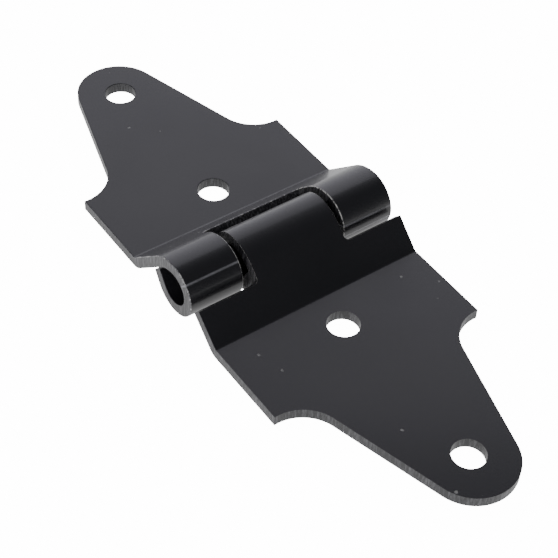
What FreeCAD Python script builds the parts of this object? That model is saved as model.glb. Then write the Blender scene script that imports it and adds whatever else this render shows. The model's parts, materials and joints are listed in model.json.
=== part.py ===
"""Heavy strap hinge: two tapered steel straps rolled around one pin.

Both straps are cut from flat plate, ramped up clear of the surface they are bolted to,
and rolled into knuckles. The outer leaf has a knuckle at each side, the centre leaf has
one wide knuckle between them, and a plain steel pin runs through all three.

Frame, in millimetres: the plates' backs lie on Z = 0 with the hinge open flat, the pin
runs along Y above the origin, the outer leaf reaches towards -X and the centre leaf
towards +X. Each leaf is drawn reaching towards +X and is turned into place.
"""
import FreeCAD, Part
import math
import os

import Sketcher

# name: (value, what it is); lengths in millimetres, angles in degrees
SIZES = {
    "leaf_width": (63.5, "width of each strap where it meets the knuckles"),
    "leaf_reach": (90.9, "from the pin's axis to a strap's tip"),
    "plate_thickness": (3.175, "thickness of the plate, the same all over"),
    "side_reach": (44.3, "from the pin's axis to where the straight side stops"),
    "scallop_radius": (11.1, "hollow curve between the straight side and the taper"),
    "taper_angle": (16.2, "slope of each tapered side from the strap's centre line"),
    "tip_radius": (11.9, "round of the tip"),
    "hole_diameter": (8.73, "bolt holes, for 5/16 inch carriage bolts"),
    "hole_reach": (29.4, "from the pin's axis to the nearer bolt hole"),
    "tip_hole_inset": (12.9, "from the strap's tip back to the further bolt hole"),
    "pin_diameter": (9.525, "hinge pin"),
    "pin_recess": (5.0, "from a knuckle's open end to the pin's end"),
    "pin_chamfer": (0.6, "break on each end of the pin"),
    "pin_clearance": (0.06, "radial running clearance in the centre knuckle"),
    "pin_grip": (0.0, "radial clearance in the outer knuckles, which hold the pin"),
    "knuckle_lift": (0.3, "gap left under the knuckles when the backs lie flat"),
    "centre_knuckle_width": (27.4, "width of the centre leaf's knuckle"),
    "knuckle_gap": (2.2, "gap at each side of the centre knuckle"),
    "ramp_angle": (42.5, "slope of the ramp from the plate up to the knuckle"),
    "foot_radius": (1.2, "inside bend between the plate and the ramp"),
    "crown_radius": (12.0, "outside bend between the ramp and the knuckle's top"),
    "curl_end_angle": (58.0, "how far past the bottom the curl stays round"),
    "curl_end_gap": (0.4, "gap between the curl's free edge and the ramp's underside"),
    "shoulder_rise": (10.2, "up the centre leaf's ramp, to the edge beside its knuckle"),
    "slot_rise": (10.2, "up the outer leaf's ramp, to the slot between its knuckles"),
    "corner_radius": (1.6, "inside corner between a knuckle and the edge beside it"),
}
CUT_MARGIN = 6.0   # how far a cutting outline runs past what it trims

V = FreeCAD.Vector
UP = V(0, 0, 1)
START, END, CENTRE = 1, 2, 3
X_AXIS, Y_AXIS = -1, -2   # a sketch's own axes
ORIGIN = -1               # with START, the sketch's own origin

doc = FreeCAD.newDocument("strap_hinge")


# ---------------------------------------------------------------- dimensions
def make_sheet():
    sheet = doc.addObject("Spreadsheet::Sheet", "Dimensions")
    for row, (name, (value, meaning)) in enumerate(SIZES.items(), start=1):
        sheet.set(f"A{row}", name)
        sheet.set(f"B{row}", str(value))
        sheet.set(f"C{row}", meaning)
        sheet.setAlias(f"B{row}", name)
    doc.recompute()
    return sheet


sheet = make_sheet()


def size(name):
    """A dimension's value, read back from the sheet."""
    return float(sheet.get(name))


def cell(name):
    """A dimension as it is written in an expression."""
    return f"Dimensions.{name}"


def polar(centre, radius, degrees):
    """The point at an angle on a circle, in a sketch's own plane."""
    angle = math.radians(degrees)
    return V(centre.x + radius * math.cos(angle), centre.y + radius * math.sin(angle), 0)


# ---------------------------------------------------------------- shared geometry
def bore_text(clearance):
    return f"({cell('pin_diameter')} / 2 + {cell(clearance)})"


def knuckle_text(clearance):
    """A knuckle's outside radius."""
    return f"({bore_text(clearance)} + {cell('plate_thickness')})"


# The pin is held just high enough for the knuckles to clear the surface below.
PIN_HEIGHT = f"({knuckle_text('pin_clearance')} + {cell('knuckle_lift')})"


def ramp_foot_text(clearance):
    """X of the line where the ramp's top face and the plate's top face would meet."""
    slope = cell("ramp_angle")
    crown = cell("crown_radius")
    crown_height = f"({PIN_HEIGHT} + {bore_text(clearance)} - {crown})"
    return f"({crown} * sin({slope}) + ({crown_height} + {crown} * cos({slope})) / tan({slope}))"


class StrapPoints:
    """The strap's key points in the plane across the pin, with the strap reaching to +X."""

    def __init__(self, clearance):
        thick = size("plate_thickness")
        slope = math.radians(size("ramp_angle"))
        past_bottom = math.radians(size("curl_end_angle"))
        self.bore = size("pin_diameter") / 2 + size(clearance)
        self.knuckle = self.bore + thick
        largest_bore = size("pin_diameter") / 2 + size("pin_clearance")
        self.axis = V(0, largest_bore + thick + size("knuckle_lift"), 0)
        self.crown = V(0, self.axis.y + self.knuckle - size("crown_radius"), 0)
        self.out = V(math.sin(slope), math.cos(slope), 0)     # square out of the ramp
        self.up_ramp = V(-math.cos(slope), math.sin(slope), 0)
        self.ramp_top = self.crown + self.out * size("crown_radius")
        run = (self.ramp_top.y - thick) / math.tan(slope)
        self.foot = V(self.ramp_top.x + run, thick, 0)
        foot_tangent = size("foot_radius") * math.tan(slope / 2)
        self.bend = V(self.foot.x + foot_tangent, thick + size("foot_radius"), 0)
        self.leg = V(math.cos(past_bottom), math.sin(past_bottom), 0)

    def leg_tip(self, start):
        """Where a side of the curl's free leg stops, short of the ramp's underside."""
        depth = size("plate_thickness") + size("curl_end_gap")
        limit = (self.ramp_top - self.out * depth).dot(self.out)
        return start + self.leg * ((limit - start.dot(self.out)) / self.leg.dot(self.out))


# ---------------------------------------------------------------- sketch helpers
def origin_plane(body, role):
    return next(part for part in body.Origin.OriginFeatures if part.Role == role)


def new_sketch(body, name, role):
    sketch = body.newObject("Sketcher::SketchObject", name)
    sketch.AttachmentSupport = [(origin_plane(body, role), "")]
    sketch.MapMode = "FlatFace"
    return sketch


def line(sketch, start, end, construction=False):
    return sketch.addGeometry(Part.LineSegment(start, end), construction)


def polyline(sketch, points):
    """Straight edges from point to point, joined at the corners between them."""
    edges = [line(sketch, *pair) for pair in zip(points, points[1:])]
    for before, after in zip(edges, edges[1:]):
        relate(sketch, "Coincident", before, END, after, START)
    return edges


def arc(sketch, centre, radius, first, last):
    """A counter-clockwise arc between two angles in degrees."""
    circle = Part.Circle(centre, UP, radius)
    curve = Part.ArcOfCircle(circle, math.radians(first), math.radians(last))
    return sketch.addGeometry(curve, False)


def relate(sketch, kind, *where):
    """Adds a geometric relation, such as a tangency."""
    return sketch.addConstraint(Sketcher.Constraint(kind, *where))


def dimension(sketch, name, expression, kind, *where_and_value):
    """Adds a named dimension that follows the sheet."""
    index = sketch.addConstraint(Sketcher.Constraint(kind, *where_and_value))
    sketch.renameConstraint(index, name)
    sketch.setExpression(f"Constraints.{name}", expression)


# ---------------------------------------------------------------- feature helpers
def pad(body, name, sketch, length):
    feature = body.newObject("PartDesign::Pad", name)
    feature.Profile = sketch
    feature.Midplane = True
    feature.setExpression("Length", length)
    doc.recompute()
    return feature


def pocket(body, name, sketch, length=None):
    """Cuts a length shared between both sides, or everything on the sketch's outward side."""
    before = body.Shape.Volume
    feature = body.newObject("PartDesign::Pocket", name)
    feature.Profile = sketch
    if length:
        feature.Midplane = True
        feature.setExpression("Length", length)
    else:
        feature.Type = "ThroughAll"
        feature.Reversed = True
    doc.recompute()
    if body.Shape.Volume >= before:
        raise RuntimeError(f"{body.Label}: {name} cuts nothing")
    return feature


def mirror(body, name, feature, role):
    copy = body.newObject("PartDesign::Mirrored", name)
    copy.Originals = [feature]
    copy.MirrorPlane = (origin_plane(body, role), [""])
    body.Tip = copy
    doc.recompute()
    return copy


def round_edges(body, name, base, wanted, radius):
    """Fillets the edges of a feature whose middles lie at the wanted points."""
    found = []
    for number, edge in enumerate(base.Shape.Edges, start=1):
        if any(edge.CenterOfMass.distanceToPoint(point) < 0.01 for point in wanted):
            found.append(f"Edge{number}")
    if len(found) != len(wanted):
        raise RuntimeError(f"{body.Label}: {name} found {len(found)} of {len(wanted)} edges")
    feature = body.newObject("PartDesign::Fillet", name)
    feature.Base = (base, found)
    feature.setExpression("Radius", radius)
    doc.recompute()
    return feature


# ---------------------------------------------------------------- strap profile
def draw_strap(body, clearance):
    """The strap seen edge on: plate, ramp, crown and curl, one thickness all along."""
    at = StrapPoints(clearance)
    thick = size("plate_thickness")
    slope = size("ramp_angle")
    past_bottom = size("curl_end_angle")
    foot_radius = size("foot_radius")
    crown_radius = size("crown_radius")
    blank_end = size("leaf_reach") + CUT_MARGIN
    outer_end = polar(at.axis, at.knuckle, 270 + past_bottom)
    inner_end = polar(at.axis, at.bore, 270 + past_bottom)
    outer_tip = at.leg_tip(outer_end)
    inner_tip = at.leg_tip(inner_end)

    sketch = new_sketch(body, "StrapProfile", "XZ_Plane")
    top = line(sketch, V(blank_end, thick, 0), V(at.bend.x, thick, 0))
    foot_in = arc(sketch, at.bend, foot_radius, 270 - slope, 270)
    ramp_out = line(sketch, polar(at.bend, foot_radius, 270 - slope), at.ramp_top)
    crown_out = arc(sketch, at.crown, crown_radius, 90 - slope, 90)
    curl_out = arc(sketch, at.axis, at.knuckle, 90, 270 + past_bottom)
    leg_out = line(sketch, outer_end, outer_tip)
    leg_end = line(sketch, outer_tip, inner_tip)
    leg_in = line(sketch, inner_tip, inner_end)
    curl_in = arc(sketch, at.axis, at.bore, 90, 270 + past_bottom)
    crown_in = arc(sketch, at.crown, crown_radius - thick, 90 - slope, 90)
    ramp_in = line(sketch, at.ramp_top - at.out * thick,
                   polar(at.bend, foot_radius + thick, 270 - slope))
    foot_out = arc(sketch, at.bend, foot_radius + thick, 270 - slope, 270)
    back = line(sketch, V(at.bend.x, 0, 0), V(blank_end, 0, 0))
    butt = line(sketch, V(blank_end, 0, 0), V(blank_end, thick, 0))

    for joint in ((top, END, foot_in, END), (foot_in, START, ramp_out, START),
                  (ramp_out, END, crown_out, START), (crown_out, END, curl_out, START),
                  (curl_out, END, leg_out, START), (leg_in, END, curl_in, END),
                  (curl_in, START, crown_in, END), (crown_in, START, ramp_in, START),
                  (ramp_in, END, foot_out, START), (foot_out, END, back, START)):
        relate(sketch, "Tangent", *joint)
    for joint in ((leg_out, END, leg_end, START), (leg_end, END, leg_in, START),
                  (back, END, butt, START), (butt, END, top, START),
                  (foot_in, CENTRE, foot_out, CENTRE), (crown_in, CENTRE, crown_out, CENTRE),
                  (curl_in, CENTRE, curl_out, CENTRE)):
        relate(sketch, "Coincident", *joint)
    relate(sketch, "Horizontal", top)
    relate(sketch, "Vertical", butt)
    relate(sketch, "PointOnObject", back, START, X_AXIS)
    relate(sketch, "PointOnObject", back, END, X_AXIS)
    relate(sketch, "PointOnObject", curl_out, CENTRE, Y_AXIS)
    relate(sketch, "PointOnObject", crown_out, CENTRE, Y_AXIS)
    relate(sketch, "Parallel", leg_in, leg_out)
    relate(sketch, "Parallel", leg_end, ramp_in)

    dimension(sketch, "Thickness", cell("plate_thickness"),
              "DistanceY", butt, START, butt, END, thick)
    dimension(sketch, "BlankEnd", f"{cell('leaf_reach')} + {CUT_MARGIN}",
              "DistanceX", ORIGIN, START, butt, START, blank_end)
    dimension(sketch, "PinHeight", PIN_HEIGHT,
              "DistanceY", ORIGIN, START, curl_out, CENTRE, at.axis.y)
    dimension(sketch, "Bore", bore_text(clearance), "Radius", curl_in, at.bore)
    dimension(sketch, "Knuckle", knuckle_text(clearance), "Radius", curl_out, at.knuckle)
    dimension(sketch, "Crown", cell("crown_radius"), "Radius", crown_out, crown_radius)
    dimension(sketch, "FootBend", cell("foot_radius"), "Radius", foot_in, foot_radius)
    dimension(sketch, "RampAngle", f"180 - {cell('ramp_angle')}",
              "Angle", X_AXIS, START, ramp_out, START, math.radians(180 - slope))
    dimension(sketch, "CurlEnd", cell("curl_end_angle"),
              "Angle", X_AXIS, START, leg_out, START, math.radians(past_bottom))
    dimension(sketch, "CurlGap", cell("curl_end_gap"),
              "Distance", leg_end, START, ramp_in, size("curl_end_gap"))
    return sketch


# ---------------------------------------------------------------- plan of the strap
def draw_outline(body):
    """The waste round a strap: straight side, scallop, taper and round tip, both sides."""
    half = size("leaf_width") / 2
    side_end = V(size("side_reach"), half, 0)
    taper = math.radians(size("taper_angle"))
    along = V(math.cos(taper), -math.sin(taper), 0)
    out = V(math.sin(taper), math.cos(taper), 0)
    scallop = size("scallop_radius")
    tip_radius = size("tip_radius")
    tip_centre = V(size("leaf_reach") - tip_radius, 0, 0)
    taper_end = tip_centre + out * tip_radius
    # The scallop's centre is its radius outside the taper and its radius from the corner.
    reach = taper_end + out * scallop - side_end
    back_along = along.dot(reach)
    back_along -= math.sqrt(back_along ** 2 - reach.dot(reach) + scallop ** 2)
    scallop_centre = taper_end + out * scallop - along * back_along
    corner = side_end - scallop_centre
    corner_turn = math.degrees(math.atan2(corner.y, corner.x)) % 360
    taper_turn = 270 - size("taper_angle")
    far = size("leaf_reach") + 2 * CUT_MARGIN
    wide = half + CUT_MARGIN

    def flip(point):
        return V(point.x, -point.y, 0)

    sketch = new_sketch(body, "OutlineWaste", "XY_Plane")
    left_arc = arc(sketch, scallop_centre, scallop, corner_turn, taper_turn)
    left_taper = line(sketch, taper_end - along * back_along, taper_end)
    tip = arc(sketch, tip_centre, tip_radius, -90 + size("taper_angle"),
              90 - size("taper_angle"))
    right_taper = line(sketch, flip(taper_end - along * back_along), flip(taper_end))
    right_arc = arc(sketch, flip(scallop_centre), scallop, 360 - taper_turn, 360 - corner_turn)
    frame = polyline(sketch, [side_end, V(side_end.x, wide, 0), V(far, wide, 0),
                              V(far, -wide, 0), V(side_end.x, -wide, 0), flip(side_end)])

    for joint in ((left_arc, END, left_taper, START), (left_taper, END, tip, END),
                  (tip, START, right_taper, END), (right_taper, START, right_arc, START)):
        relate(sketch, "Tangent", *joint)
    relate(sketch, "Coincident", left_arc, START, frame[0], START)
    relate(sketch, "Coincident", right_arc, END, frame[-1], END)
    for edge, direction in zip(frame, ("Vertical", "Horizontal", "Vertical", "Horizontal")):
        relate(sketch, direction, edge)
    relate(sketch, "PointOnObject", tip, CENTRE, X_AXIS)
    relate(sketch, "Symmetric", frame[0], START, frame[-1], END, X_AXIS)
    relate(sketch, "Symmetric", frame[0], END, frame[-1], START, X_AXIS)
    relate(sketch, "Equal", left_arc, right_arc)

    dimension(sketch, "SideReach", cell("side_reach"),
              "DistanceX", ORIGIN, START, frame[0], START, side_end.x)
    dimension(sketch, "HalfWidth", f"{cell('leaf_width')} / 2",
              "DistanceY", ORIGIN, START, frame[0], START, half)
    dimension(sketch, "Margin", str(CUT_MARGIN),
              "DistanceY", frame[0], START, frame[0], END, CUT_MARGIN)
    dimension(sketch, "Far", f"{cell('leaf_reach')} + {2 * CUT_MARGIN}",
              "DistanceX", ORIGIN, START, frame[1], END, far)
    dimension(sketch, "Scallop", cell("scallop_radius"), "Radius", left_arc, scallop)
    dimension(sketch, "TipRadius", cell("tip_radius"), "Radius", tip, tip_radius)
    dimension(sketch, "TipReach", f"{cell('leaf_reach')} - {cell('tip_radius')}",
              "DistanceX", ORIGIN, START, tip, CENTRE, tip_centre.x)
    for name, edge, sign in (("LeftTaper", left_taper, -1), ("RightTaper", right_taper, 1)):
        dimension(sketch, name, f"{sign} * {cell('taper_angle')}",
                  "Angle", X_AXIS, START, edge, START, sign * taper)
    return sketch


def draw_bolt_holes(body):
    """One hole near the ramp and one near the tip, on the strap's centre line."""
    sketch = new_sketch(body, "BoltHoles", "XY_Plane")
    diameter = size("hole_diameter")
    near = size("hole_reach")
    far = size("leaf_reach") - size("tip_hole_inset")
    far_text = f"{cell('leaf_reach')} - {cell('tip_hole_inset')}"
    for name, reach, reach_text in (("Near", near, cell("hole_reach")),
                                    ("Far", far, far_text)):
        hole = sketch.addGeometry(Part.Circle(V(reach, 0, 0), UP, diameter / 2), False)
        relate(sketch, "PointOnObject", hole, CENTRE, X_AXIS)
        dimension(sketch, name + "Diameter", cell("hole_diameter"), "Diameter", hole, diameter)
        dimension(sketch, name + "Reach", reach_text,
                  "DistanceX", ORIGIN, START, hole, CENTRE, reach)
    return sketch


# ---------------------------------------------------------------- knuckle cut-outs
def draw_knuckle_waste(body, clearance, rise_name):
    """Everything past an edge on the ramp: the upper ramp, the crown and the whole curl."""
    at = StrapPoints(clearance)
    edge = at.foot + at.up_ramp * size(rise_name)
    below = size("plate_thickness") + size("curl_end_gap") / 2
    back = CUT_MARGIN / 2
    left = -(at.knuckle + CUT_MARGIN)
    top = at.axis.y + at.knuckle + CUT_MARGIN
    outside = edge + at.out * ((top - edge.y) / at.out.y)
    inside = edge - at.out * below
    clear = inside - at.up_ramp * back
    corners = [outside, inside, clear, V(clear.x, -CUT_MARGIN, 0),
               V(left, -CUT_MARGIN, 0), V(left, top, 0), outside]

    sketch = new_sketch(body, "KnuckleWaste", "XZ_Plane")
    rise = line(sketch, at.foot, edge, construction=True)
    across, under, down, floor, side, roof = polyline(sketch, corners)
    relate(sketch, "Coincident", roof, END, across, START)
    relate(sketch, "PointOnObject", rise, END, across)
    relate(sketch, "Perpendicular", rise, across)
    relate(sketch, "Perpendicular", across, under)
    relate(sketch, "Vertical", down)
    relate(sketch, "Horizontal", floor)
    relate(sketch, "Vertical", side)
    relate(sketch, "Horizontal", roof)

    dimension(sketch, "FootReach", ramp_foot_text(clearance),
              "DistanceX", ORIGIN, START, rise, START, at.foot.x)
    dimension(sketch, "FootHeight", cell("plate_thickness"),
              "DistanceY", ORIGIN, START, rise, START, at.foot.y)
    dimension(sketch, "RampAngle", f"180 - {cell('ramp_angle')}",
              "Angle", X_AXIS, START, rise, START, math.radians(180 - size("ramp_angle")))
    dimension(sketch, "Rise", cell(rise_name),
              "Distance", rise, START, rise, END, size(rise_name))
    dimension(sketch, "Below", f"{cell('plate_thickness')} + {cell('curl_end_gap')} / 2",
              "Distance", rise, END, across, END, below)
    dimension(sketch, "Roof", f"{PIN_HEIGHT} + {knuckle_text(clearance)} + {CUT_MARGIN}",
              "DistanceY", ORIGIN, START, roof, START, top)
    dimension(sketch, "Back", str(back), "Distance", under, START, under, END, back)
    dimension(sketch, "Floor", str(CUT_MARGIN),
              "DistanceY", floor, START, ORIGIN, START, CUT_MARGIN)
    dimension(sketch, "Left", f"{knuckle_text(clearance)} + {CUT_MARGIN}",
              "DistanceX", side, START, ORIGIN, START, -left)
    return sketch


def inside_corners(clearance, rise_name, half_width):
    """The middles of the two edges where a knuckle's sides meet the cut across the ramp."""
    at = StrapPoints(clearance)
    middle = at.foot + at.up_ramp * size(rise_name) - at.out * (size("plate_thickness") / 2)
    return [V(middle.x, y, middle.y) for y in (-half_width, half_width)]


# ---------------------------------------------------------------- pieces
def new_body(label):
    body = doc.addObject("PartDesign::Body", "Body_" + label)
    body.Label = label
    return body


def make_plain_leaf(label, clearance):
    """A rolled strap with its outline and bolt holes, its knuckle still full width."""
    body = new_body(label)
    pad(body, "Strap", draw_strap(body, clearance), cell("leaf_width"))
    pocket(body, "Outline", draw_outline(body))
    pocket(body, "Bolts", draw_bolt_holes(body))
    return body


def make_outer_leaf():
    """A slot through the middle leaves a knuckle at each side."""
    body = make_plain_leaf("outer_leaf", "pin_grip")
    slot_text = f"{cell('centre_knuckle_width')} + 2 * {cell('knuckle_gap')}"
    waste = draw_knuckle_waste(body, "pin_grip", "slot_rise")
    slot = pocket(body, "CentreSlot", waste, slot_text)
    half = size("centre_knuckle_width") / 2 + size("knuckle_gap")
    corners = inside_corners("pin_grip", "slot_rise", half)
    round_edges(body, "SlotCorners", slot, corners, cell("corner_radius"))
    body.Placement = FreeCAD.Placement(V(0, 0, 0), FreeCAD.Rotation(UP, 180))
    return body


def make_centre_leaf():
    """Both sides are cut away to leave one knuckle in the middle."""
    body = make_plain_leaf("centre_leaf", "pin_clearance")
    waste = draw_knuckle_waste(body, "pin_clearance", "shoulder_rise")
    waste.setExpression("AttachmentOffset.Base.z", f"{cell('centre_knuckle_width')} / 2")
    side = pocket(body, "SideCut", waste)
    both = mirror(body, "SideCuts", side, "XZ_Plane")
    half = size("centre_knuckle_width") / 2
    corners = inside_corners("pin_clearance", "shoulder_rise", half)
    round_edges(body, "ShoulderCorners", both, corners, cell("corner_radius"))
    return body


def make_hinge_pin():
    body = new_body("hinge_pin")
    sketch = new_sketch(body, "PinSection", "XZ_Plane")
    rim = sketch.addGeometry(Part.Circle(V(0, 0, 0), UP, size("pin_diameter") / 2))
    relate(sketch, "Coincident", rim, CENTRE, ORIGIN, START)
    dimension(sketch, "Diameter", cell("pin_diameter"), "Diameter", rim, size("pin_diameter"))
    pin = pad(body, "Pin", sketch, f"{cell('leaf_width')} - 2 * {cell('pin_recess')}")
    ends = [f"Edge{number}" for number, edge in enumerate(pin.Shape.Edges, start=1)
            if edge.isClosed()]
    chamfer = body.newObject("PartDesign::Chamfer", "EndChamfers")
    chamfer.Base = (pin, ends)
    chamfer.setExpression("Size", cell("pin_chamfer"))
    body.setExpression("Placement.Base.z", PIN_HEIGHT)
    return body


# ---------------------------------------------------------------- checks and files
def check_document():
    for item in doc.Objects:
        if "Invalid" in item.State or "Error" in item.State:
            raise RuntimeError(f"{item.Label} failed: {item.State}")
        if item.isDerivedFrom("Sketcher::SketchObject") and item.solve() != 0:
            raise RuntimeError(f"{item.Label} doesn't solve")


def check_piece(body):
    shape = body.Shape
    if shape.isNull() or not shape.isValid() or len(shape.Solids) != 1:
        raise RuntimeError(f"{body.Label} isn't one valid solid")


def main():
    pieces = [make_outer_leaf(), make_centre_leaf(), make_hinge_pin()]
    doc.recompute()
    check_document()
    for piece in pieces:
        check_piece(piece)
    os.makedirs("parts", exist_ok=True)
    for piece in pieces:
        piece.Shape.exportStep(f"parts/{piece.Label}.step")
        box = piece.Shape.BoundBox
        print(f"{piece.Label}: {box.XLength:.2f} x {box.YLength:.2f} x {box.ZLength:.2f} mm,"
              f" {piece.Shape.Volume:.0f} mm3")


main()
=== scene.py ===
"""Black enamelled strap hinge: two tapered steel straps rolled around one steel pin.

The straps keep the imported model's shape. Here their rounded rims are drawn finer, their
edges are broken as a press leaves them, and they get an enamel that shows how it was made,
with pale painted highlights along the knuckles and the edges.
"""
import json
import math

import bmesh
import bpy
from mathutils import Matrix, Vector


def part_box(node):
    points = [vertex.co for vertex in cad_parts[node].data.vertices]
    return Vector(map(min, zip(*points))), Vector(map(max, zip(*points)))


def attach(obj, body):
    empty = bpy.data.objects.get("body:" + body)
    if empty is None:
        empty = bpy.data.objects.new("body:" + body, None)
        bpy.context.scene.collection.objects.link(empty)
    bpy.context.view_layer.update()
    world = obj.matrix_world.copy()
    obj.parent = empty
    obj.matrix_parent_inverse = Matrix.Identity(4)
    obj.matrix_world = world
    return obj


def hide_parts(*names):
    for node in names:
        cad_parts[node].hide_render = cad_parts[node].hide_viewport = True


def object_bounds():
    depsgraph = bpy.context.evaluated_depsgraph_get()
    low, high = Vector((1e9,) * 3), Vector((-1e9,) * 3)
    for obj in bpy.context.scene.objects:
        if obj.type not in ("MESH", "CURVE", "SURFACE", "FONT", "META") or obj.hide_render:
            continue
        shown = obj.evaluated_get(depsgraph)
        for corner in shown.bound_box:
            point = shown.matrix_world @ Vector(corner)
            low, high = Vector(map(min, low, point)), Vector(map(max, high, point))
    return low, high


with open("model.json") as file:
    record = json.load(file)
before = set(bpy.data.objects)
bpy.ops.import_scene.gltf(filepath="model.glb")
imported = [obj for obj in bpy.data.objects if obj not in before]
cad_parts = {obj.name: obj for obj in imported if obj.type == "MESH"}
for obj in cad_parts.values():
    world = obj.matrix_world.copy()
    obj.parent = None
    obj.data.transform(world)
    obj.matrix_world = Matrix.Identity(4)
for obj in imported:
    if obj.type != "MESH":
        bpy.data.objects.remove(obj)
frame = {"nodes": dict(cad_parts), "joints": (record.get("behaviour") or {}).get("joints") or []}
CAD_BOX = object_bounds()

bl_info = {
    "name": "Strap Hinge",
    "version": (1, 0, 0),
    "blender": (4, 5, 0),
    "location": "View3D > Sidebar > Hinge",
    "description": "Finishes the enamelled straps and the pin of a strap hinge",
    "category": "Object",
}

MM = 0.001
SHARP = math.radians(30)            # a steeper fold than this is a pressed or cut edge
ON_AXIS = Vector(frame["joints"][0]["pos_m"])   # the pin's axis runs along Y through here
KNUCKLE_REACH = 8.3 * MM            # just past the rolled knuckles' outer face, from the axis
KNUCKLE_GAPS = (13 * MM, 17 * MM)   # the gaps between the knuckles lie in here, to each side
# Painted highlight streaks along the outer knuckles, where the glossy curl reflects the lights:
# turned from upright in degrees, which side, how strong.
PAINTED_STREAKS = ((44.0, -1, 1.0), (72.0, 1, 0.9), (97.0, 1, 0.9))
PAINTED_STREAK_WIDTH = math.radians(3.5)       # from the middle of such a line to where it fades out
OUTER_START = 14.8 * MM             # only the outer knuckles lie further out than this
# A line this many times longer than the next one is a straight, not a facet of a curve.
LONG_STRAIGHT = 2.5
STRAPS = {
    "outer_leaf": ("outer_strap_enamelled", "fixed_strap"),
    "centre_leaf": ("centre_strap_enamelled", "swinging_strap"),
}


def linear(hex_colour):
    """An sRGB hex colour as linear red, green, blue and alpha."""
    values = [int(hex_colour[i:i + 2], 16) / 255 for i in (0, 2, 4)]
    curve = [v / 12.92 if v <= 0.04045 else ((v + 0.055) / 1.055) ** 2.4 for v in values]
    return (*curve, 1.0)


# ---------------------------------------------------------------- settings
class EnamelSettings(bpy.types.PropertyGroup):
    """The straps' finish."""
    colour: bpy.props.FloatVectorProperty(
        name="Enamel", description="Colour of the black enamel on the flats",
        subtype="COLOR", size=4, min=0, max=1, default=linear("161519"))
    # Partly painted highlight: the pale grey over the edges is thin enamel, and also stands in for
    # the highlights that the rounded edges catch.
    thin_enamel_and_highlight_colour: bpy.props.FloatVectorProperty(
        name="Thin enamel", description="Colour where the enamel has drawn thin over an edge",
        subtype="COLOR", size=4, min=0, max=1, default=linear("929196"))
    # Painted highlight: this pale colour draws the reflections of the lights along the knuckles into
    # the enamel.
    painted_streak_colour: bpy.props.FloatVectorProperty(
        name="Rubbed enamel", description="Colour of the lines that the curling die left",
        subtype="COLOR", size=4, min=0, max=1, default=linear("a6a6ab"))
    steel_colour: bpy.props.FloatVectorProperty(
        name="Bare steel", description="Colour of the steel where the enamel has chipped",
        subtype="COLOR", size=4, min=0, max=1, default=linear("d2d1cd"))
    front_round: bpy.props.FloatProperty(
        name="Front edge", description="Rounding that the press leaves along the front edges",
        subtype="DISTANCE", unit="LENGTH", min=0.05 * MM, max=1 * MM, default=0.45 * MM)
    back_round: bpy.props.FloatProperty(
        name="Back edge", description="Break along the back edges and the upright corners",
        subtype="DISTANCE", unit="LENGTH", min=0.02 * MM, max=0.5 * MM, default=0.2 * MM)


class PinSettings(bpy.types.PropertyGroup):
    """The hinge pin."""
    colour: bpy.props.FloatVectorProperty(
        name="Steel", description="Colour of the pin's oiled steel",
        subtype="COLOR", size=4, min=0, max=1, default=linear("5c5a57"))
    chamfer: bpy.props.FloatProperty(
        name="Chamfer", description="Break on each end of the pin",
        subtype="DISTANCE", unit="LENGTH", min=0.1 * MM, max=2 * MM, default=0.6 * MM)
    sides: bpy.props.IntProperty(
        name="Sides", description="Flat sides that make up the pin's round",
        min=24, max=192, default=120)


class StageSettings(bpy.types.PropertyGroup):
    """Camera, lights and floor."""
    azimuth: bpy.props.FloatProperty(
        name="Azimuth", description="Where the camera stands, turned from -Y towards +X",
        subtype="ANGLE", unit="ROTATION", default=math.radians(51.742))
    elevation: bpy.props.FloatProperty(
        name="Elevation", description="Height of the camera above the level of the hinge",
        subtype="ANGLE", unit="ROTATION", default=math.radians(46.205))
    distance: bpy.props.FloatProperty(
        name="Distance", description="From the camera to the point that it looks at",
        subtype="DISTANCE", unit="LENGTH", min=0.1, default=0.38114)
    roll: bpy.props.FloatProperty(
        name="Roll", description="Turn of the camera about its own line of sight",
        subtype="ANGLE", unit="ROTATION", default=math.radians(3.874))
    lens: bpy.props.FloatProperty(
        name="Lens", description="Focal length on a 36 mm sensor",
        subtype="DISTANCE_CAMERA", min=20, max=300, default=96.393)
    floor_colour: bpy.props.FloatVectorProperty(
        name="Floor", description="Colour of the pale floor",
        subtype="COLOR", size=4, min=0, max=1, default=linear("f6f6f6"))
    floor_glow: bpy.props.FloatProperty(
        name="Floor glow", description="How brightly the lit paper shows to the camera",
        min=0, default=16.0)
    floor_light: bpy.props.FloatProperty(
        name="Floor light", description="How much light the paper throws back at the hinge",
        min=0, default=1.1)
    key_power: bpy.props.FloatProperty(
        name="Key light", description="Power of the large soft light behind the hinge",
        subtype="POWER", unit="POWER", min=0, default=21.8)
    fill_power: bpy.props.FloatProperty(
        name="Fill light", description="Power of the soft light on the camera's side",
        subtype="POWER", unit="POWER", min=0, default=4.6)


# ---------------------------------------------------------------- nodes
def add_node(tree, kind, links=(), **settings):
    """Adds a node. Settings are its properties; links is {input: value or output socket}."""
    node = tree.nodes.new(kind)
    for name, value in settings.items():
        setattr(node, name, value)
    for name, value in dict(links).items():
        if isinstance(value, bpy.types.NodeSocket):
            tree.links.new(value, node.inputs[name])
        else:
            node.inputs[name].default_value = value
    return node


def new_material(name):
    """An empty node material, and its tree."""
    material = bpy.data.materials.new(name)
    material.use_nodes = True
    material.node_tree.nodes.clear()
    return material, material.node_tree


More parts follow.
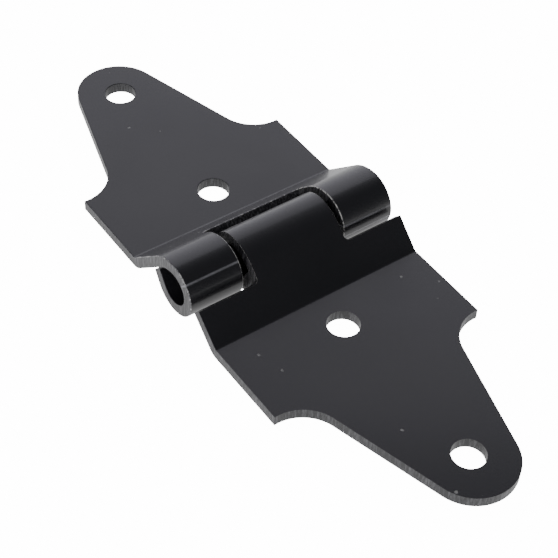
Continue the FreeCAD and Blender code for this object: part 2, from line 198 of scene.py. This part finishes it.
def painted_streak_lines(tree, place):
    """Painted highlights: pale streaks along the outer knuckles, where the glossy curl reflects the
    lights: where they show, 0 to 1.
    """
    axes = add_node(tree, "ShaderNodeSeparateXYZ", {0: place})
    height = add_node(tree, "ShaderNodeMath", {0: axes.outputs["Z"], 1: ON_AXIS.z},
                      operation="SUBTRACT")
    angle = add_node(tree, "ShaderNodeMath", {0: axes.outputs["X"], 1: height.outputs[0]},
                     operation="ARCTAN2")
    across = add_node(tree, "ShaderNodeCombineXYZ", {
        "X": axes.outputs["X"], "Y": height.outputs[0]})
    radius = add_node(tree, "ShaderNodeVectorMath", {0: across.outputs[0]}, operation="LENGTH")
    on_knuckle = add_node(tree, "ShaderNodeMath", {0: radius.outputs["Value"], 1: KNUCKLE_REACH},
                          operation="LESS_THAN")
    # The painted highlight streaks break up along their length, in stretches of about 5 mm.
    streak_breaks = add_node(tree, "ShaderNodeTexNoise", {"Vector": place, "Scale": 200.0, "Detail": 2.0})
    total = None
    for degrees, side, strength in PAINTED_STREAKS:
        off = add_node(tree, "ShaderNodeMath", {0: angle.outputs[0], 1: math.radians(degrees)},
                       operation="SUBTRACT")
        away = add_node(tree, "ShaderNodeMath", {0: off.outputs[0]}, operation="ABSOLUTE")
        line = add_node(tree, "ShaderNodeMapRange", {
            "Value": away.outputs[0], "From Min": PAINTED_STREAK_WIDTH, "From Max": 0.0,
            "To Max": strength}, interpolation_type="SMOOTHSTEP")
        along = add_node(tree, "ShaderNodeMath", {0: axes.outputs["Y"], 1: side * OUTER_START},
                         operation="GREATER_THAN" if side > 0 else "LESS_THAN")
        here = add_node(tree, "ShaderNodeMath", {0: line.outputs[0], 1: along.outputs[0]},
                        operation="MULTIPLY")
        if total is None:
            total = here
        else:
            total = add_node(tree, "ShaderNodeMath", {0: total.outputs[0], 1: here.outputs[0]},
                             operation="MAXIMUM")
    patchy = add_node(tree, "ShaderNodeMath", {0: total.outputs[0], 1: streak_breaks.outputs["Fac"]},
                      operation="MULTIPLY")
    painted_streak_node = add_node(tree, "ShaderNodeMath", {0: patchy.outputs[0], 1: on_knuckle.outputs[0]},
                      operation="MULTIPLY")
    return painted_streak_node.outputs[0]


def nicks(tree, place, ragged):
    """A few pale nicks on the flats: at most one in a cell of 10 mm, up to 1 mm across."""
    cells = add_node(tree, "ShaderNodeTexVoronoi", {
        "Vector": place, "Scale": 105.0, "Randomness": 1.0}, feature="F1")
    reach = add_node(tree, "ShaderNodeMath", {
        0: ragged, 1: 0.16, 2: cells.outputs["Distance"]}, operation="MULTIPLY_ADD")
    spot = add_node(tree, "ShaderNodeMapRange", {
        "Value": reach.outputs[0], "From Min": 0.135, "From Max": 0.105, "To Max": 0.5})
    # One cell in four stays whole.
    lot = add_node(tree, "ShaderNodeSeparateColor", {"Color": cells.outputs["Color"]})
    struck = add_node(tree, "ShaderNodeMath", {0: lot.outputs[0], 1: 0.25},
                      operation="GREATER_THAN")
    nick = add_node(tree, "ShaderNodeMath", {0: spot.outputs[0], 1: struck.outputs[0]},
                    operation="MULTIPLY")
    return nick.outputs[0]


def enamel_relief(tree, place, streak, worn):
    """The normal of the enamel's skin: orange peel and grain, shear streaks, and chips."""
    # Orange peel, 1.6 mm from crest to crest.
    peel = add_node(tree, "ShaderNodeTexNoise", {
        "Vector": place, "Scale": 620.0, "Detail": 1.5, "Roughness": 0.4})
    # Fine grain in the skin, 0.3 mm.
    grain = add_node(tree, "ShaderNodeTexNoise", {
        "Vector": place, "Scale": 3300.0, "Detail": 2.0, "Roughness": 0.6})
    peel_bump = add_node(tree, "ShaderNodeBump", {
        "Height": peel.outputs["Fac"], "Strength": 0.15, "Distance": 0.01 * MM})
    grain_bump = add_node(tree, "ShaderNodeBump", {
        "Height": grain.outputs["Fac"], "Strength": 0.1, "Distance": 0.001 * MM,
        "Normal": peel_bump.outputs[0]})
    streak_bump = add_node(tree, "ShaderNodeBump", {
        "Height": streak, "Strength": 0.5, "Distance": 0.12 * MM,
        "Normal": grain_bump.outputs[0]})
    chip_bump = add_node(tree, "ShaderNodeBump", {
        "Height": worn, "Strength": 0.8, "Distance": 0.05 * MM,
        "Normal": streak_bump.outputs[0]}, invert=True)
    return chip_bump.outputs[0]


def black_stove_enamel(settings):
    """Black stove enamel, dipped and baked over pressed steel.

    A satin skin with a faint orange peel. It draws thin and grey over the rounded edges, a grey
    that also paints the highlights those edges catch, where it has chipped to bright steel in
    places, and doesn't hide the streaks of the sheared cut. Pale streaks along the outer
    knuckles are painted highlights.
    """
    material, tree = new_material("black_stove_enamel")
    place = add_node(tree, "ShaderNodeTexCoord").outputs["Object"]
    # edge marks the broken edges, for wear and for the painted edge highlight.
    edge = add_node(tree, "ShaderNodeAttribute", attribute_name="edge").outputs["Fac"]
    cut = add_node(tree, "ShaderNodeAttribute", attribute_name="cut").outputs["Fac"]

    # Cloudy patches about 25 mm across, where the dip ran thicker or thinner.
    cloud = add_node(tree, "ShaderNodeTexNoise", {
        "Vector": place, "Scale": 40.0, "Detail": 3.0, "Roughness": 0.55})
    # Shear streaks run through the plate's thickness. Real ones are 0.2 mm apart along the
    # cut, and these are drawn 0.5 mm apart so that they show.
    along = add_node(tree, "ShaderNodeMapping", {"Vector": place, "Scale": (1.0, 1.0, 0.12)})
    streak = add_node(tree, "ShaderNodeTexNoise", {
        "Vector": along.outputs[0], "Scale": 2000.0, "Detail": 3.0, "Roughness": 0.65})

    # Chips, 0.3 to 1 mm, only along the rounded edges, and more of them the more an edge rubs.
    chip_noise = add_node(tree, "ShaderNodeTexNoise", {
        "Vector": place, "Scale": 900.0, "Detail": 4.0, "Roughness": 0.7})
    chip_level = add_node(tree, "ShaderNodeMath", {
        0: edge, 1: 0.30, 2: chip_noise.outputs["Fac"]}, operation="MULTIPLY_ADD")
    chip = add_node(tree, "ShaderNodeMapRange", {
        "Value": chip_level.outputs[0], "From Min": 0.74, "From Max": 0.80})
    chip_at_edge = add_node(tree, "ShaderNodeMath", {0: chip.outputs[0], 1: edge},
                            operation="MULTIPLY")
    # Painted highlight streaks along the outer knuckles.
    painted_streak_mask = painted_streak_lines(tree, place)
    nick = nicks(tree, place, chip_noise.outputs["Fac"])

    base = settings.colour
    cloud_lift = 1.5    # the thinner clouds are this much lighter
    lighter = [min(1.0, c * cloud_lift) for c in base[:3]] + [1.0]
    flats = add_node(tree, "ShaderNodeMix", {
        "Factor": cloud.outputs["Fac"], 6: tuple(base), 7: tuple(lighter)}, data_type="RGBA")
    # Over an edge the enamel is thin in patches, and never quite as thick as on a flat. Its pale
    # grey also paints the highlights that the rounded edges catch.
    thin_patch = add_node(tree, "ShaderNodeMapRange", {
        "Value": chip_noise.outputs["Fac"], "From Min": 0.4, "From Max": 0.62,
        "To Min": 0.2, "To Max": 1.0})
    thin_enamel_and_highlight_at_edge = add_node(tree, "ShaderNodeMath", {0: edge, 1: thin_patch.outputs[0]},
                            operation="MULTIPLY")
    # Painted highlight: pale streaks mixed into the colour along the knuckles, where the curl
    # reflects the lights.
    painted_streak_node = add_node(tree, "ShaderNodeMix", {
        "Factor": painted_streak_mask, 6: flats.outputs[2], 7: tuple(settings.painted_streak_colour)},
        data_type="RGBA")
    # Partly painted highlight: thin enamel and painted edge highlights, in one pale grey.
    thin = add_node(tree, "ShaderNodeMix", {
        "Factor": thin_enamel_and_highlight_at_edge.outputs[0], 6: painted_streak_node.outputs[2],
        7: tuple(settings.thin_enamel_and_highlight_colour)}, data_type="RGBA")
    streak_share = add_node(tree, "ShaderNodeMapRange", {
        "Value": streak.outputs["Fac"], "From Min": 0.45, "From Max": 0.7, "To Max": 0.35})
    cut_share = add_node(tree, "ShaderNodeMath", {0: streak_share.outputs[0], 1: cut},
                         operation="MULTIPLY")
    sheared = add_node(tree, "ShaderNodeMix", {
        "Factor": cut_share.outputs[0], 6: thin.outputs[2], 7: tuple(settings.thin_enamel_and_highlight_colour)},
        data_type="RGBA")
    worn = add_node(tree, "ShaderNodeMath", {0: chip_at_edge.outputs[0], 1: nick},
                    operation="MAXIMUM")
    colour = add_node(tree, "ShaderNodeMix", {
        "Factor": worn.outputs[0], 6: sheared.outputs[2], 7: tuple(settings.steel_colour)},
        data_type="RGBA")

    # Satin on the flats, rougher on the cuts, under a thin gloss that gives the highlights.
    satin = add_node(tree, "ShaderNodeMapRange", {
        "Value": cloud.outputs["Fac"], "From Min": 0.3, "From Max": 0.7,
        "To Min": 0.36, "To Max": 0.42})
    rough_cut = add_node(tree, "ShaderNodeMath", {0: cut, 1: 0.14, 2: satin.outputs[0]},
                         operation="MULTIPLY_ADD")

    streak_height = add_node(tree, "ShaderNodeMath", {0: streak.outputs["Fac"], 1: cut},
                             operation="MULTIPLY")
    relief = enamel_relief(tree, place, streak_height.outputs[0], worn.outputs[0])
    shader = add_node(tree, "ShaderNodeBsdfPrincipled", {
        "Base Color": colour.outputs[2], "Metallic": 0.0, "IOR": 1.5,
        "Roughness": rough_cut.outputs[0], "Normal": relief,
        "Coat Weight": 0.3, "Coat Roughness": 0.14})
    add_node(tree, "ShaderNodeOutputMaterial", {"Surface": shader.outputs[0]})
    return material


def oiled_bright_steel(settings):
    """Cold drawn steel bar, cropped to length and oiled.

    Fine draw lines run along the bar, its cropped ends are torn, and oil has darkened it.
    """
    material, tree = new_material("oiled_drawn_steel")
    place = add_node(tree, "ShaderNodeTexCoord").outputs["Object"]
    # Draw lines, 0.15 mm apart round the bar and long along it.
    drawn = add_node(tree, "ShaderNodeMapping", {"Vector": place, "Scale": (1.0, 0.03, 1.0)})
    lines = add_node(tree, "ShaderNodeTexNoise", {
        "Vector": drawn.outputs[0], "Scale": 6500.0, "Detail": 2.0})
    # Oil and dirt in patches of 3 mm.
    dirt = add_node(tree, "ShaderNodeTexNoise", {
        "Vector": place, "Scale": 330.0, "Detail": 4.0, "Roughness": 0.6})
    dirty = add_node(tree, "ShaderNodeMapRange", {
        "Value": dirt.outputs["Fac"], "From Min": 0.4, "From Max": 0.65})
    dirt_share = 0.3    # how much of its colour the steel keeps under dirt
    dark = [c * dirt_share for c in settings.colour[:3]] + [1.0]
    colour = add_node(tree, "ShaderNodeMix", {
        "Factor": dirty.outputs[0], 6: tuple(settings.colour), 7: tuple(dark)},
        data_type="RGBA")
    roughness = add_node(tree, "ShaderNodeMapRange", {
        "Value": dirt.outputs["Fac"], "From Min": 0.3, "From Max": 0.7,
        "To Min": 0.28, "To Max": 0.5})
    bump = add_node(tree, "ShaderNodeBump", {
        "Height": lines.outputs["Fac"], "Strength": 0.5, "Distance": 0.01 * MM})
    shader = add_node(tree, "ShaderNodeBsdfPrincipled", {
        "Base Color": colour.outputs[2], "Metallic": 1.0,
        "Roughness": roughness.outputs[0], "Normal": bump.outputs[0]})
    add_node(tree, "ShaderNodeOutputMaterial", {"Surface": shader.outputs[0]})
    return material


def matt_white_paper(settings):
    """White studio paper: matt, with no sheen, and a faint tooth that keeps it from looking flat."""
    material, tree = new_material("matt_white_paper")
    place = add_node(tree, "ShaderNodeTexCoord").outputs["Object"]
    tooth = add_node(tree, "ShaderNodeTexNoise", {"Vector": place, "Scale": 900.0})
    bump = add_node(tree, "ShaderNodeBump", {
        "Height": tooth.outputs["Fac"], "Strength": 0.1, "Distance": 0.02 * MM})
    seen = add_node(tree, "ShaderNodeLightPath").outputs["Is Camera Ray"]
    glow = add_node(tree, "ShaderNodeMapRange", {
        "Value": seen, "To Min": settings.floor_light, "To Max": settings.floor_glow})
    shader = add_node(tree, "ShaderNodeBsdfPrincipled", {
        "Base Color": tuple(settings.floor_colour), "Roughness": 0.9,
        "Specular IOR Level": 0.1, "Normal": bump.outputs[0],
        "Emission Color": tuple(settings.floor_colour),
        "Emission Strength": glow.outputs[0]})
    add_node(tree, "ShaderNodeOutputMaterial", {"Surface": shader.outputs[0]})
    return material


# ---------------------------------------------------------------- straps
def is_sharp(edge):
    """Whether an edge is a fold or a cut, not a line within a curved face."""
    return edge.calc_face_angle(0.0) > SHARP


def onward(edge, vert):
    """The sharp edge that carries on past vert with no corner: its bend, heading and length."""
    heading = (vert.co - edge.other_vert(vert).co).normalized()
    best = None
    for other in vert.link_edges:
        if other is edge or not is_sharp(other):
            continue
        away = (other.other_vert(vert).co - vert.co).normalized()
        bend = heading.angle(away)
        if bend < SHARP and (best is None or bend < best[0]):
            best = (bend, away, other.calc_length())
    return best


def curve_heading(edge, vert):
    """Which way the curve under a facet of a rounded rim runs at vert, or None at a corner."""
    heading = (vert.co - edge.other_vert(vert).co).normalized()
    found = onward(edge, vert)
    if found is None:
        return None
    bend, away, length = found
    if length > LONG_STRAIGHT * edge.calc_length():
        return away
    return (heading + away).normalized()


def round_the_rims(bm):
    """Puts one more point in each facet of the rounded rims, on the curve that they follow."""
    least_bend = math.radians(0.3)
    targets = {}
    for edge in bm.edges:
        if not is_sharp(edge):
            continue
        first, last = edge.verts
        chord = last.co - first.co
        length = chord.length
        ends = [onward(edge, first), onward(edge, last)]
        if not any(e and e[0] > least_bend for e in ends):
            continue
        if any(e and e[0] > least_bend and length > LONG_STRAIGHT * e[2] for e in ends):
            continue
        leave = curve_heading(edge, first)
        arrive = curve_heading(edge, last)
        along = chord / length
        leave = -leave if leave else None
        if leave is None:
            leave = 2 * along.dot(arrive) * along - arrive
        if arrive is None:
            arrive = 2 * along.dot(leave) * along - leave
        middle = (first.co + last.co) / 2
        targets[edge] = (middle, middle + (leave - arrive) * length / 8)
    made = bmesh.ops.subdivide_edges(
        bm, edges=list(targets), cuts=1, use_grid_fill=True, use_single_edge=True)
    places = list(targets.values())
    for vert in (g for g in made["geom_inner"] if isinstance(g, bmesh.types.BMVert)):
        middle, target = min(places, key=lambda pair: (pair[0] - vert.co).length_squared)
        vert.co = target


def spread(start):
    """Every face reached from start without crossing a sharp edge."""
    reached = {start}
    waiting = [start]
    while waiting:
        face = waiting.pop()
        for edge in face.edges:
            if is_sharp(edge):
                continue
            for other in edge.link_faces:
                if other not in reached:
                    reached.add(other)
                    waiting.append(other)
    return reached


def edge_wear_and_highlight(point):
    """How much an edge at point is worn, and how strong its painted edge highlight is, from 0 to 1:
    most between the knuckles.
    """
    knuckles_and_ramps = 14 * MM
    reach = math.hypot(point.x - ON_AXIS.x, point.z - ON_AXIS.z)
    if reach > knuckles_and_ramps:
        return 0.2
    return 1.0 if KNUCKLE_GAPS[0] < abs(point.y) < KNUCKLE_GAPS[1] else 0.7


def break_edges(bm, edges, width, layer, value):
    """Rounds edges off, and marks the new faces as worn, and as lit by a painted highlight, by
    value.
    """
    made = bmesh.ops.bevel(
        bm, geom=edges, offset=width, offset_type="OFFSET", segments=3, profile=0.5,
        affect="EDGES", clamp_overlap=True)
    for face in made["faces"]:
        face[layer] = value * edge_wear_and_highlight(face.calc_center_median())


def blend_normals(mesh):
    """Shades each face by its size, so flats stay flat and the small rounds roll between them."""
    sums = [Vector((0, 0, 0)) for _ in mesh.vertices]
    for face in mesh.polygons:
        for index in face.vertices:
            sums[index] += face.normal * face.area
    mesh.shade_smooth()
    mesh.normals_split_custom_set_from_vertices([s.normalized() for s in sums])


def make_strap(node, name, body, settings, material):
    """One strap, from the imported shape, with its rims rounded and its edges broken."""
    source = frame["nodes"][node]
    bm = bmesh.new()
    bm.from_mesh(source.data)
    bm.transform(source.matrix_world)
    # A new layer makes every face found before it stale, so both come first.
    edge_layer = bm.faces.layers.float.new("edge")
    cut_layer = bm.faces.layers.float.new("cut")
    bmesh.ops.remove_doubles(bm, verts=bm.verts, dist=0.002 * MM)
    bmesh.ops.dissolve_limit(bm, angle_limit=math.radians(0.5), verts=bm.verts, edges=bm.edges)
    for _ in range(2):      # each pass halves every facet
        round_the_rims(bm)

    level = 0.999
    plate = [f for f in bm.faces if abs(f.normal.z) > level]
    front = spread(max(plate, key=lambda f: f.normal.z * f.calc_area()))
    back = spread(min(plate, key=lambda f: f.normal.z * f.calc_area()))
    for face in bm.faces:
        face[cut_layer] = 0.0 if face in front or face in back else 1.0
    sharp = [e for e in bm.edges if is_sharp(e)]
    front_rims = [e for e in sharp if any(f in front for f in e.link_faces)]
    others = [e for e in sharp if e not in set(front_rims)]
    break_edges(bm, front_rims, settings.front_round, edge_layer, 1.0)
    break_edges(bm, [e for e in others if e.is_valid], settings.back_round, edge_layer, 0.5)

    mesh = bpy.data.meshes.new(name)
    bm.to_mesh(mesh)
    bm.free()
    blend_normals(mesh)
    strap = bpy.data.objects.new(name, mesh)
    bpy.context.scene.collection.objects.link(strap)
    mesh.materials.append(material)
    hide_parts(node)
    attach(strap, body)


# ---------------------------------------------------------------- pin
def pin_tree():
    """Geometry nodes for a round bar with a chamfer at each end and torn, cropped ends."""
    tree = bpy.data.node_groups.new("turned_pin", "GeometryNodeTree")
    face = tree.interface
    face.new_socket("Geometry", in_out="OUTPUT", socket_type="NodeSocketGeometry")
    for label in ("Radius", "Half Length", "Chamfer", "Height"):
        face.new_socket(label, in_out="INPUT", socket_type="NodeSocketFloat")
    face.new_socket("Sides", in_out="INPUT", socket_type="NodeSocketInt")
    face.new_socket("Seed", in_out="INPUT", socket_type="NodeSocketInt")
    face.new_socket("Material", in_out="INPUT", socket_type="NodeSocketMaterial")
    given = add_node(tree, "NodeGroupInput").outputs

    depth = add_node(tree, "ShaderNodeMath", {0: given["Half Length"], 1: 2.0},
                     operation="MULTIPLY")
    bar = add_node(tree, "GeometryNodeMeshCylinder", {
        "Vertices": given["Sides"], "Side Segments": 3, "Fill Segments": 6,
        "Radius": given["Radius"], "Depth": depth.outputs[0]})
    place = add_node(tree, "GeometryNodeInputPosition")
    axes = add_node(tree, "ShaderNodeSeparateXYZ", {0: place.outputs[0]})
    from_middle = add_node(tree, "ShaderNodeMath", {0: axes.outputs["Z"]}, operation="ABSOLUTE")
    side = add_node(tree, "ShaderNodeMath", {0: axes.outputs["Z"]}, operation="SIGN")
    share = add_node(tree, "ShaderNodeMath", {0: from_middle.outputs[0], 1: given["Half Length"]},
                     operation="DIVIDE")
    near_end = 0.9      # the end discs lie past this share of the half length, the rings short of it
    at_end = add_node(tree, "ShaderNodeMath", {0: share.outputs[0], 1: near_end},
                      operation="GREATER_THAN")
    inside = add_node(tree, "ShaderNodeMath", {0: share.outputs[0], 1: near_end},
                      operation="LESS_THAN")

    # The two inner rings move out to where the chamfers start.
    start = add_node(tree, "ShaderNodeMath", {0: given["Half Length"], 1: given["Chamfer"]},
                     operation="SUBTRACT")
    start_signed = add_node(tree, "ShaderNodeMath", {0: start.outputs[0], 1: side.outputs[0]},
                            operation="MULTIPLY")
    ring_place = add_node(tree, "ShaderNodeCombineXYZ", {
        "X": axes.outputs["X"], "Y": axes.outputs["Y"], "Z": start_signed.outputs[0]})
    rings = add_node(tree, "GeometryNodeSetPosition", {
        "Geometry": bar.outputs["Mesh"], "Selection": inside.outputs[0],
        "Position": ring_place.outputs[0]})

    # The end discs shrink to the chamfer's small circle and get the crop's torn face.
    small = add_node(tree, "ShaderNodeMath", {0: given["Radius"], 1: given["Chamfer"]},
                     operation="SUBTRACT")
    shrink = add_node(tree, "ShaderNodeMath", {0: small.outputs[0], 1: given["Radius"]},
                      operation="DIVIDE")
    deepest_tear = 0.25 * MM
    tear = add_node(tree, "ShaderNodeTexNoise", {
        "Vector": place.outputs[0], "W": given["Seed"], "Scale": 700.0, "Detail": 2.0},
        noise_dimensions="4D")
    torn = add_node(tree, "ShaderNodeMath", {0: tear.outputs["Fac"], 1: -deepest_tear},
                    operation="MULTIPLY")
    end_height = add_node(tree, "ShaderNodeMath", {0: given["Half Length"], 1: torn.outputs[0]},
                          operation="ADD")
    end_signed = add_node(tree, "ShaderNodeMath", {0: end_height.outputs[0], 1: side.outputs[0]},
                          operation="MULTIPLY")
    small_x = add_node(tree, "ShaderNodeMath", {0: axes.outputs["X"], 1: shrink.outputs[0]},
                       operation="MULTIPLY")
    small_y = add_node(tree, "ShaderNodeMath", {0: axes.outputs["Y"], 1: shrink.outputs[0]},
                       operation="MULTIPLY")
    disc_place = add_node(tree, "ShaderNodeCombineXYZ", {
        "X": small_x.outputs[0], "Y": small_y.outputs[0], "Z": end_signed.outputs[0]})
    discs = add_node(tree, "GeometryNodeSetPosition", {
        "Geometry": rings.outputs[0], "Selection": at_end.outputs[0],
        "Position": disc_place.outputs[0]})

    up = add_node(tree, "ShaderNodeCombineXYZ", {"Z": given["Height"]})
    laid = add_node(tree, "GeometryNodeTransform", {
        "Geometry": discs.outputs[0], "Translation": up.outputs[0],
        "Rotation": (math.radians(90), 0.0, 0.0)})
    real = add_node(tree, "GeometryNodeRealizeInstances", {0: laid.outputs[0]})
    finished = add_node(tree, "GeometryNodeSetMaterial", {
        "Geometry": real.outputs[0], "Material": given["Material"]})
    add_node(tree, "NodeGroupOutput", {0: finished.outputs[0]})
    return tree


def make_pin(settings, material):
    """The hinge pin, on its packed place and size."""
    low, high = (Vector(corner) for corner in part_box("hinge_pin"))
    tree = pin_tree()
    given = {
        "Radius": (high.z - low.z) / 2, "Half Length": (high.y - low.y) / 2,
        "Chamfer": settings.chamfer, "Height": (high.z + low.z) / 2,
        "Sides": settings.sides, "Seed": 4, "Material": material,
    }
    name = "hinge_pin_drawn"
    holder = bpy.data.objects.new(name, bpy.data.meshes.new(name + "_start"))
    bpy.context.scene.collection.objects.link(holder)
    modifier = holder.modifiers.new("Turned pin", "NODES")
    modifier.node_group = tree
    for item in tree.interface.items_tree:
        if item.in_out == "INPUT":
            modifier[item.identifier] = given[item.name]
    graph = bpy.context.evaluated_depsgraph_get()
    mesh = bpy.data.meshes.new_from_object(holder.evaluated_get(graph), depsgraph=graph)
    holder.modifiers.remove(modifier)
    holder.data = mesh
    mesh.name = name
    blend_normals(mesh)
    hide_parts("hinge_pin")
    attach(holder, "fixed_strap")


# ---------------------------------------------------------------- stage
def make_camera(settings):
    """The camera, looking at the middle of the hinge from the side of the centre strap."""
    target = Vector((9.994, -6.271, 6.0)) * MM
    around = settings.azimuth
    level = math.cos(settings.elevation)
    toward = Vector((
        level * math.sin(around), -level * math.cos(around), math.sin(settings.elevation)))
    data = bpy.data.cameras.new("camera")
    data.sensor_width = 36.0
    data.lens = settings.lens
    camera = bpy.data.objects.new("camera", data)
    bpy.context.scene.collection.objects.link(camera)
    aim = (-toward).to_track_quat("-Z", "Y").to_matrix().to_4x4()
    turn = Matrix.Rotation(settings.roll, 4, "Z")
    camera.matrix_world = Matrix.Translation(target + toward * settings.distance) @ aim @ turn
    bpy.context.scene.camera = camera


def make_light(name, place, size, power, colour=(1.0, 1.0, 1.0)):
    """A flat soft light at place, in metres, facing the hinge."""
    data = bpy.data.lights.new(name, "AREA")
    data.shape = "RECTANGLE"
    data.size, data.size_y = size
    data.energy = power
    data.color = colour
    light = bpy.data.objects.new(name, data)
    bpy.context.scene.collection.objects.link(light)
    light.location = place
    light.rotation_euler = (-Vector(place)).to_track_quat("-Z", "Y").to_euler()


def make_floor(settings):
    """A plain pale floor just under the hinge's back."""
    reach = 3.0         # metres, from the middle to each side
    gap = 0.02 * MM
    height = CAD_BOX[0][2] - gap
    mesh = bpy.data.meshes.new("floor")
    corners = [(-reach, -reach, height), (reach, -reach, height),
               (reach, reach, height), (-reach, reach, height)]
    mesh.from_pydata(corners, [], [(0, 1, 2, 3)])
    mesh.materials.append(matt_white_paper(settings))
    floor = bpy.data.objects.new("floor", mesh)
    bpy.context.scene.collection.objects.link(floor)


def make_world():
    """A dim, even grey room."""
    world = bpy.data.worlds.new("studio_room")
    world.use_nodes = True
    tree = world.node_tree
    tree.nodes.clear()
    back = add_node(tree, "ShaderNodeBackground", {
        "Color": linear("c8ccd2"), "Strength": 0.2})
    add_node(tree, "ShaderNodeOutputWorld", {"Surface": back.outputs[0]})
    bpy.context.scene.world = world


# ---------------------------------------------------------------- operators
class STRAPHINGE_OT_straps(bpy.types.Operator):
    """Finish both straps in black enamel"""
    bl_idname = "strap_hinge.straps"
    bl_label = "Finish the straps"

    def execute(self, context):
        settings = context.scene.hinge_enamel
        material = black_stove_enamel(settings)
        for node, (name, body) in STRAPS.items():
            make_strap(node, name, body, settings, material)
        return {"FINISHED"}


class STRAPHINGE_OT_pin(bpy.types.Operator):
    """Turn the hinge pin"""
    bl_idname = "strap_hinge.pin"
    bl_label = "Turn the pin"

    def execute(self, context):
        settings = context.scene.hinge_pin_settings
        make_pin(settings, oiled_bright_steel(settings))
        return {"FINISHED"}


class STRAPHINGE_OT_stage(bpy.types.Operator):
    """Set up the camera, the lights and the pale floor"""
    bl_idname = "strap_hinge.stage"
    bl_label = "Set the stage"

    def execute(self, context):
        settings = context.scene.hinge_stage
        make_camera(settings)
        make_floor(settings)
        make_world()
        make_light("key_light", (-1.50, 0.975, 0.89), (2.62, 2.1), settings.key_power,
                   linear("f6f4ff")[:3])
        make_light("fill_light", (0.55, -0.85, 0.65), (0.8, 0.4), settings.fill_power)
        return {"FINISHED"}


class STRAPHINGE_PT_panel(bpy.types.Panel):
    """The steps that finish a strap hinge"""
    bl_idname = "STRAPHINGE_PT_panel"
    bl_label = "Strap Hinge"
    bl_space_type = "VIEW_3D"
    bl_region_type = "UI"
    bl_category = "Hinge"

    def draw(self, context):
        for operator, group in STEPS:
            box = self.layout.box()
            box.operator(operator.bl_idname)
            settings = getattr(context.scene, group)
            for name in settings.bl_rna.properties.keys():
                if name not in ("rna_type", "name"):
                    box.prop(settings, name)


STEPS = (
    (STRAPHINGE_OT_straps, "hinge_enamel"),
    (STRAPHINGE_OT_pin, "hinge_pin_settings"),
    (STRAPHINGE_OT_stage, "hinge_stage"),
)
GROUPS = {
    "hinge_enamel": EnamelSettings,
    "hinge_pin_settings": PinSettings,
    "hinge_stage": StageSettings,
}
CLASSES = (*GROUPS.values(), *(operator for operator, _ in STEPS), STRAPHINGE_PT_panel)


def register():
    for cls in CLASSES:
        bpy.utils.register_class(cls)
    for name, group in GROUPS.items():
        setattr(bpy.types.Scene, name, bpy.props.PointerProperty(type=group))


def unregister():
    for name in GROUPS:
        delattr(bpy.types.Scene, name)
    for cls in reversed(CLASSES):
        bpy.utils.unregister_class(cls)


def main():
    register()
    bpy.ops.strap_hinge.straps()
    bpy.ops.strap_hinge.pin()
    bpy.ops.strap_hinge.stage()


if __name__ == "__main__":
    main()
